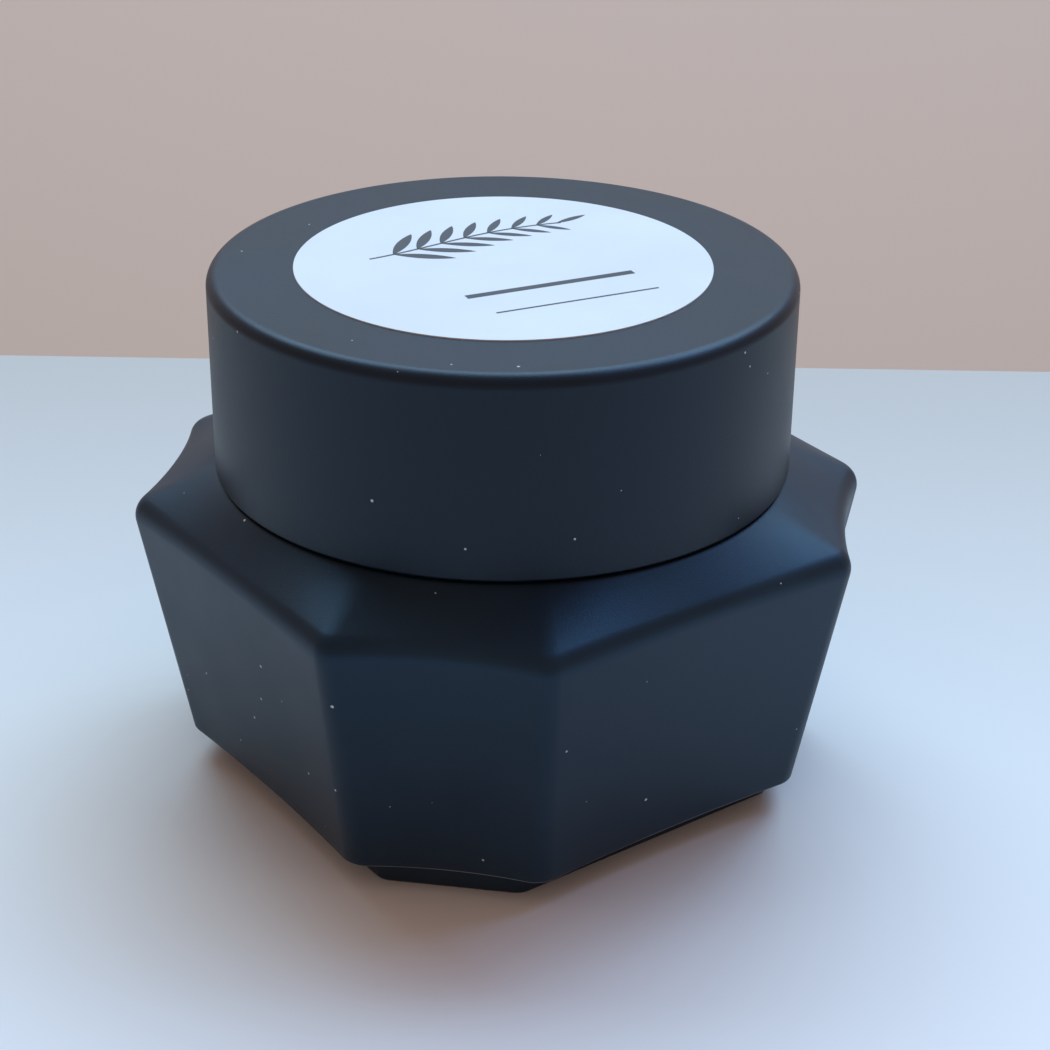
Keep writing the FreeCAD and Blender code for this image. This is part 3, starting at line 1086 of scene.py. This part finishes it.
def leaf(foot: Vector, heading: float, length: float, width: float) -> list[Vector]:
    """The outline of a slender pointed leaf.

    Args:
        foot: Where it grows from.
        heading: The direction it points in, in radians.
        length: How long it is.
        width: How wide it is.

    Returns:
        The points of the outline, counter-clockwise.
    """
    ahead = Vector((math.cos(heading), math.sin(heading)))
    aside = Vector((-ahead.y, ahead.x))
    points = []
    for step in range(24):
        share = 1.0 - abs(step / 12.0 - 1.0)
        half = 0.5 * width * math.sin(math.pi * share) ** 0.8
        points.append(foot + ahead * (share * length) + aside * (half if step > 12 else -half))
    return points


@dataclass
class SealingDisc:
    """The loose inner lid that lies on the neck: dished, with a tab to lift it by."""

    material: bpy.types.Material
    radius: float = 20.6
    flange: float = 0.6
    dish: float = 18.1
    dish_wall: float = 0.8
    tab_length: float = 9.0
    tab_thick: float = 1.2
    tab_height: float = 1.9
    tab_round: float = 0.25
    tab_ease: float = 0.07
    tab_sunk: float = 0.1

    def build(self) -> bpy.types.Object:
        """Build and dress the disc.

        Returns:
            The finished piece.
        """
        low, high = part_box("sealing_disc")
        bottom, top = low[2] / MM, high[2] / MM
        under = top - self.flange
        inside = self.dish - self.dish_wall
        floor = bottom + self.dish_wall
        profile = rounded([
            (0.0, bottom, 0.0), (self.dish, bottom, 0.5), (self.dish, under, 0.15),
            (self.radius, under, 0.2), (self.radius, top, 0.2), (inside, top, 0.3),
            (inside, floor, 0.5), (0.0, floor, 0.0)])
        skin = Skin()
        lathe(skin, subdivided(profile, 3.0))
        self._tab(skin, floor)
        piece = skin.build("sealing_disc_moulding")
        return settle(piece, self.material, Body.SEAL, Slot.DISC, "sealing_disc")

    def _tab(self, skin: Skin, floor: float) -> None:
        """Add the finger tab, rounded in plan and eased along its top edge.

        Args:
            skin: The mesh it goes into.
            floor: The height that it stands on.
        """
        outline = []
        end = 0.5 * self.tab_length - 0.5 * self.tab_thick
        for middle, first in ((end, -0.5 * math.pi), (-end, 0.5 * math.pi)):
            for step in range(9):
                angle = first + math.pi * step / 8.0
                outline.append((middle, angle))
        sections = []
        for height, shrink in ((-self.tab_sunk, 0.0),
                               (self.tab_height - self.tab_round, 0.0),
                               (self.tab_height - self.tab_ease, self.tab_ease),
                               (self.tab_height, self.tab_round)):
            half = 0.5 * self.tab_thick - shrink
            sections.append([Vector((middle + half * math.cos(angle), half * math.sin(angle),
                                     floor + height)) for middle, angle in outline])
        skin.strip(sections)


# ---- Studio ----


@dataclass(frozen=True)
class Lamp:
    """A soft rectangular light, placed by its bearing to the right of straight behind the jar."""

    name: str
    colour: str
    power: float
    width: float
    height: float
    bearing_degrees: float
    elevation_degrees: float
    distance: float


# Cool daylight from a wide opening above and behind the wall; it makes the one soft shadow.
SKYLIGHT = Lamp("skylight", "#b8e3ff", 11.3, 1.2, 0.6, 4.0, 56.0, 900.0)
# A smaller, bluer light high on the right, which shows on the right side of the shoulder.
WINDOW = Lamp("window", "#7cb9ff", 2.3, 0.5, 0.5, 62.0, 56.0, 900.0)
# Daylight on the wall alone: it hangs above the jar and faces the wall.
WALL_WASH = Lamp("wall_wash", "#fff8f6", 2.6, 1.2, 1.2, 0.0, 40.0, 260.0)


@dataclass
class Studio:
    """A pale table, a plain warm wall well behind it, cool daylight and a warm room.

    The table's paint goes from light near the camera to dark far from it between shade_from and
    shade_to, in metres: painted light and painted shade for the light that falls off towards the
    wall.
    """

    # Painted light and shade: the table's near colour is brighter and its far colour darker, for the
    # light that falls off towards the wall.
    table_near_lit_colour: str = "#fafbfb"
    table_far_shaded_colour: str = "#b4aca4"
    wall_colour: str = "#c7c6c4"
    edge_distance: float = 91.0
    edge_turn_degrees: float = -1.5
    wall_distance: float = 600.0
    wall_top: float = 300.0
    table_front: float = 220.0
    room_colour: str = "#ab9389"
    room_strength: float = 1.0
    half_width: float = 1500.0
    table_thick: float = 25.0
    wall_foot: float = -700.0
    wall_thick: float = 20.0
    aim_height: float = 20.0
    wash_height: float = 150.0
    shade_from: float = -0.12
    shade_to: float = 0.13

    def build(self, azimuth: float) -> None:
        """Build the table, wall and lights.

        Args:
            azimuth: The direction the camera looks along, in degrees, with 0 along +Y.
        """
        away = math.radians(90.0 + azimuth)
        heading = away + math.radians(self.edge_turn_degrees)
        table = self._table(heading)
        wall = self._wall(heading)
        world = bpy.data.worlds.new("room")
        bpy.context.scene.world = world
        world.use_nodes = True
        background = world.node_tree.nodes["Background"]
        background.inputs["Color"].default_value = linear(self.room_colour)
        background.inputs["Strength"].default_value = self.room_strength
        centre = Vector((0.0, 0.0, self.aim_height))
        self._lamp(SKYLIGHT, away, centre)
        self._lamp(WINDOW, away, centre)
        self._lamp(WALL_WASH, away, polar(self.wall_distance, away, self.wash_height))

    def _table(self, heading: float) -> bpy.types.Object:
        """The table top, whose far edge is a straight line across the heading.

        Args:
            heading: The direction away from the camera, in radians.

        Returns:
            The slab.
        """
        half, edge = self.half_width, self.edge_distance
        front = -self.table_front
        outline = ((-half, front), (half, front), (half, edge), (-half, edge))
        sections = [[Vector((across, along, height)) for across, along in outline]
                    for height in (-self.table_thick, 0.0)]
        return self._slab("table", (self.table_near_lit_colour, self.table_far_shaded_colour), sections, heading)

    def _wall(self, heading: float) -> bpy.types.Object:
        """The wall behind the table.

        Args:
            heading: The direction away from the camera, in radians.

        Returns:
            The slab.
        """
        half, near = self.half_width, self.wall_distance
        far = near + self.wall_thick
        outline = ((-half, near), (half, near), (half, far), (-half, far))
        sections = [[Vector((across, along, height)) for across, along in outline]
                    for height in (self.wall_foot, self.wall_top)]
        return self._slab("wall", (self.wall_colour, self.wall_colour), sections, heading)

    def _slab(self, name: str, colours: tuple[str, str], sections: list[list[Vector]],
              heading: float) -> bpy.types.Object:
        """Build and paint one slab of the stage, turned so that +Y becomes the heading.

        Args:
            name: The slab's name.
            colours: Its colours near the camera and far from it, on the table a lighter and a darker
                one as painted light and shade.
            sections: Its outline at its lowest and highest face.
            heading: The direction to turn it to.

        Returns:
            The slab.
        """
        skin = Skin()
        skin.strip(sections)
        slab = skin.build(name)
        slab.rotation_euler = (0.0, 0.0, heading - 0.5 * math.pi)
        dress(slab, self._paint(name, *colours))
        return slab

    def _paint(self, name: str, near: str, far: str) -> bpy.types.Material:
        """Matt paint that goes evenly from one pale colour to another behind the jar; on the table
        this is painted light near the camera and painted shade behind the jar.

        Args:
            name: The slab's name.
            near: The colour on the camera's side, lighter on the table as painted light.
            far: The colour behind the jar, darker on the table as painted shade.

        Returns:
            The node material.
        """
        material, tree = fresh_tree(name + "_paint")
        place = add_node(tree, "TexCoord").outputs["Object"]
        parts = add_node(tree, "SeparateXYZ", links={"Vector": place})
        share = add_node(tree, "MapRange", {"interpolation_type": "SMOOTHSTEP"},
                         {"From Min": self.shade_from, "From Max": self.shade_to},
                         {"Value": parts.outputs["Y"]})
        colour = add_node(tree, "Mix", {"data_type": "RGBA"}, {6: linear(near), 7: linear(far)},
                          {0: share.outputs["Result"]}).outputs[2]
        shader = add_node(tree, "BsdfPrincipled", values={"Roughness": 0.65, "IOR": 1.45},
                          links={"Base Color": colour})
        tree.links.new(shader.outputs["BSDF"], tree.nodes["Material Output"].inputs["Surface"])
        return material

    def _lamp(self, lamp: Lamp, away: float, target: Vector) -> None:
        """Hang one lamp so that it faces a target.

        Args:
            lamp: Its size, place and light.
            away: The direction away from the camera, in radians.
            target: The point that it faces.
        """
        data = bpy.data.lights.new(lamp.name, "AREA")
        data.shape = "RECTANGLE"
        data.size = lamp.width
        data.size_y = lamp.height
        data.energy = lamp.power
        data.color = linear(lamp.colour)[:3]
        lamp_object = bpy.data.objects.new(lamp.name, data)
        rise = math.radians(lamp.elevation_degrees)
        bearing = away - math.radians(lamp.bearing_degrees)
        lamp_object.location = polar(lamp.distance * math.cos(rise), bearing,
                                     lamp.distance * math.sin(rise)) * MM
        aim = target * MM - lamp_object.location
        lamp_object.rotation_euler = aim.to_track_quat("-Z", "Y").to_euler()
        bpy.context.scene.collection.objects.link(lamp_object)


@dataclass
class Viewpoint:
    """The camera: where it stands about the lid's lower edge, and how it is turned from it."""

    distance: float = 200.2
    azimuth_degrees: float = 9.42
    elevation_degrees: float = 24.4
    aim_height: float = 29.1
    tilt_degrees: float = -1.90
    pan_degrees: float = -0.574
    roll_degrees: float = 0.304
    lens: float = 78.18

    def build(self) -> None:
        """Make the camera and give it to the scene."""
        data = bpy.data.cameras.new("camera")
        data.lens = self.lens
        data.sensor_width = 36.0
        camera = bpy.data.objects.new("camera", data)
        elevation = math.radians(self.elevation_degrees)
        around = math.radians(self.azimuth_degrees - 90.0)
        flat = self.distance * math.cos(elevation)
        place = polar(flat, around, self.aim_height + self.distance * math.sin(elevation))
        back = (place - Vector((0.0, 0.0, self.aim_height))).normalized()
        right = Vector((0.0, 0.0, 1.0)).cross(back).normalized()
        level = Matrix((right, back.cross(right), back)).transposed()
        turn = (Matrix.Rotation(math.radians(self.tilt_degrees), 3, "X")
                @ Matrix.Rotation(math.radians(self.pan_degrees), 3, "Y")
                @ Matrix.Rotation(math.radians(self.roll_degrees), 3, "Z"))
        camera.matrix_world = Matrix.Translation(place * MM) @ (level @ turn).to_4x4()
        bpy.context.scene.collection.objects.link(camera)
        bpy.context.scene.camera = camera


def main() -> None:
    """Build the jar, the lid and the studio round them."""
    logging.basicConfig(level=logging.INFO, format="%(message)s")
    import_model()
    OuterJar(JAR_PAINT.material()).build()
    Foot(BARE_BLACK.material()).build()
    InnerCup(WHITE_PP.material()).build()
    LidShell(LID_PAINT.material()).build()
    InnerCap(BARE_BLACK.material()).build()
    Liner(FOAM.material()).build()
    Label(LABEL_FILM.material(), PRINT.material()).build()
    SealingDisc(NATURAL_PP.material()).build()
    view = Viewpoint()
    Studio().build(view.azimuth_degrees)
    view.build()
    bpy.context.scene.view_settings.view_transform = "Standard"


if __name__ == "__main__":
    main()
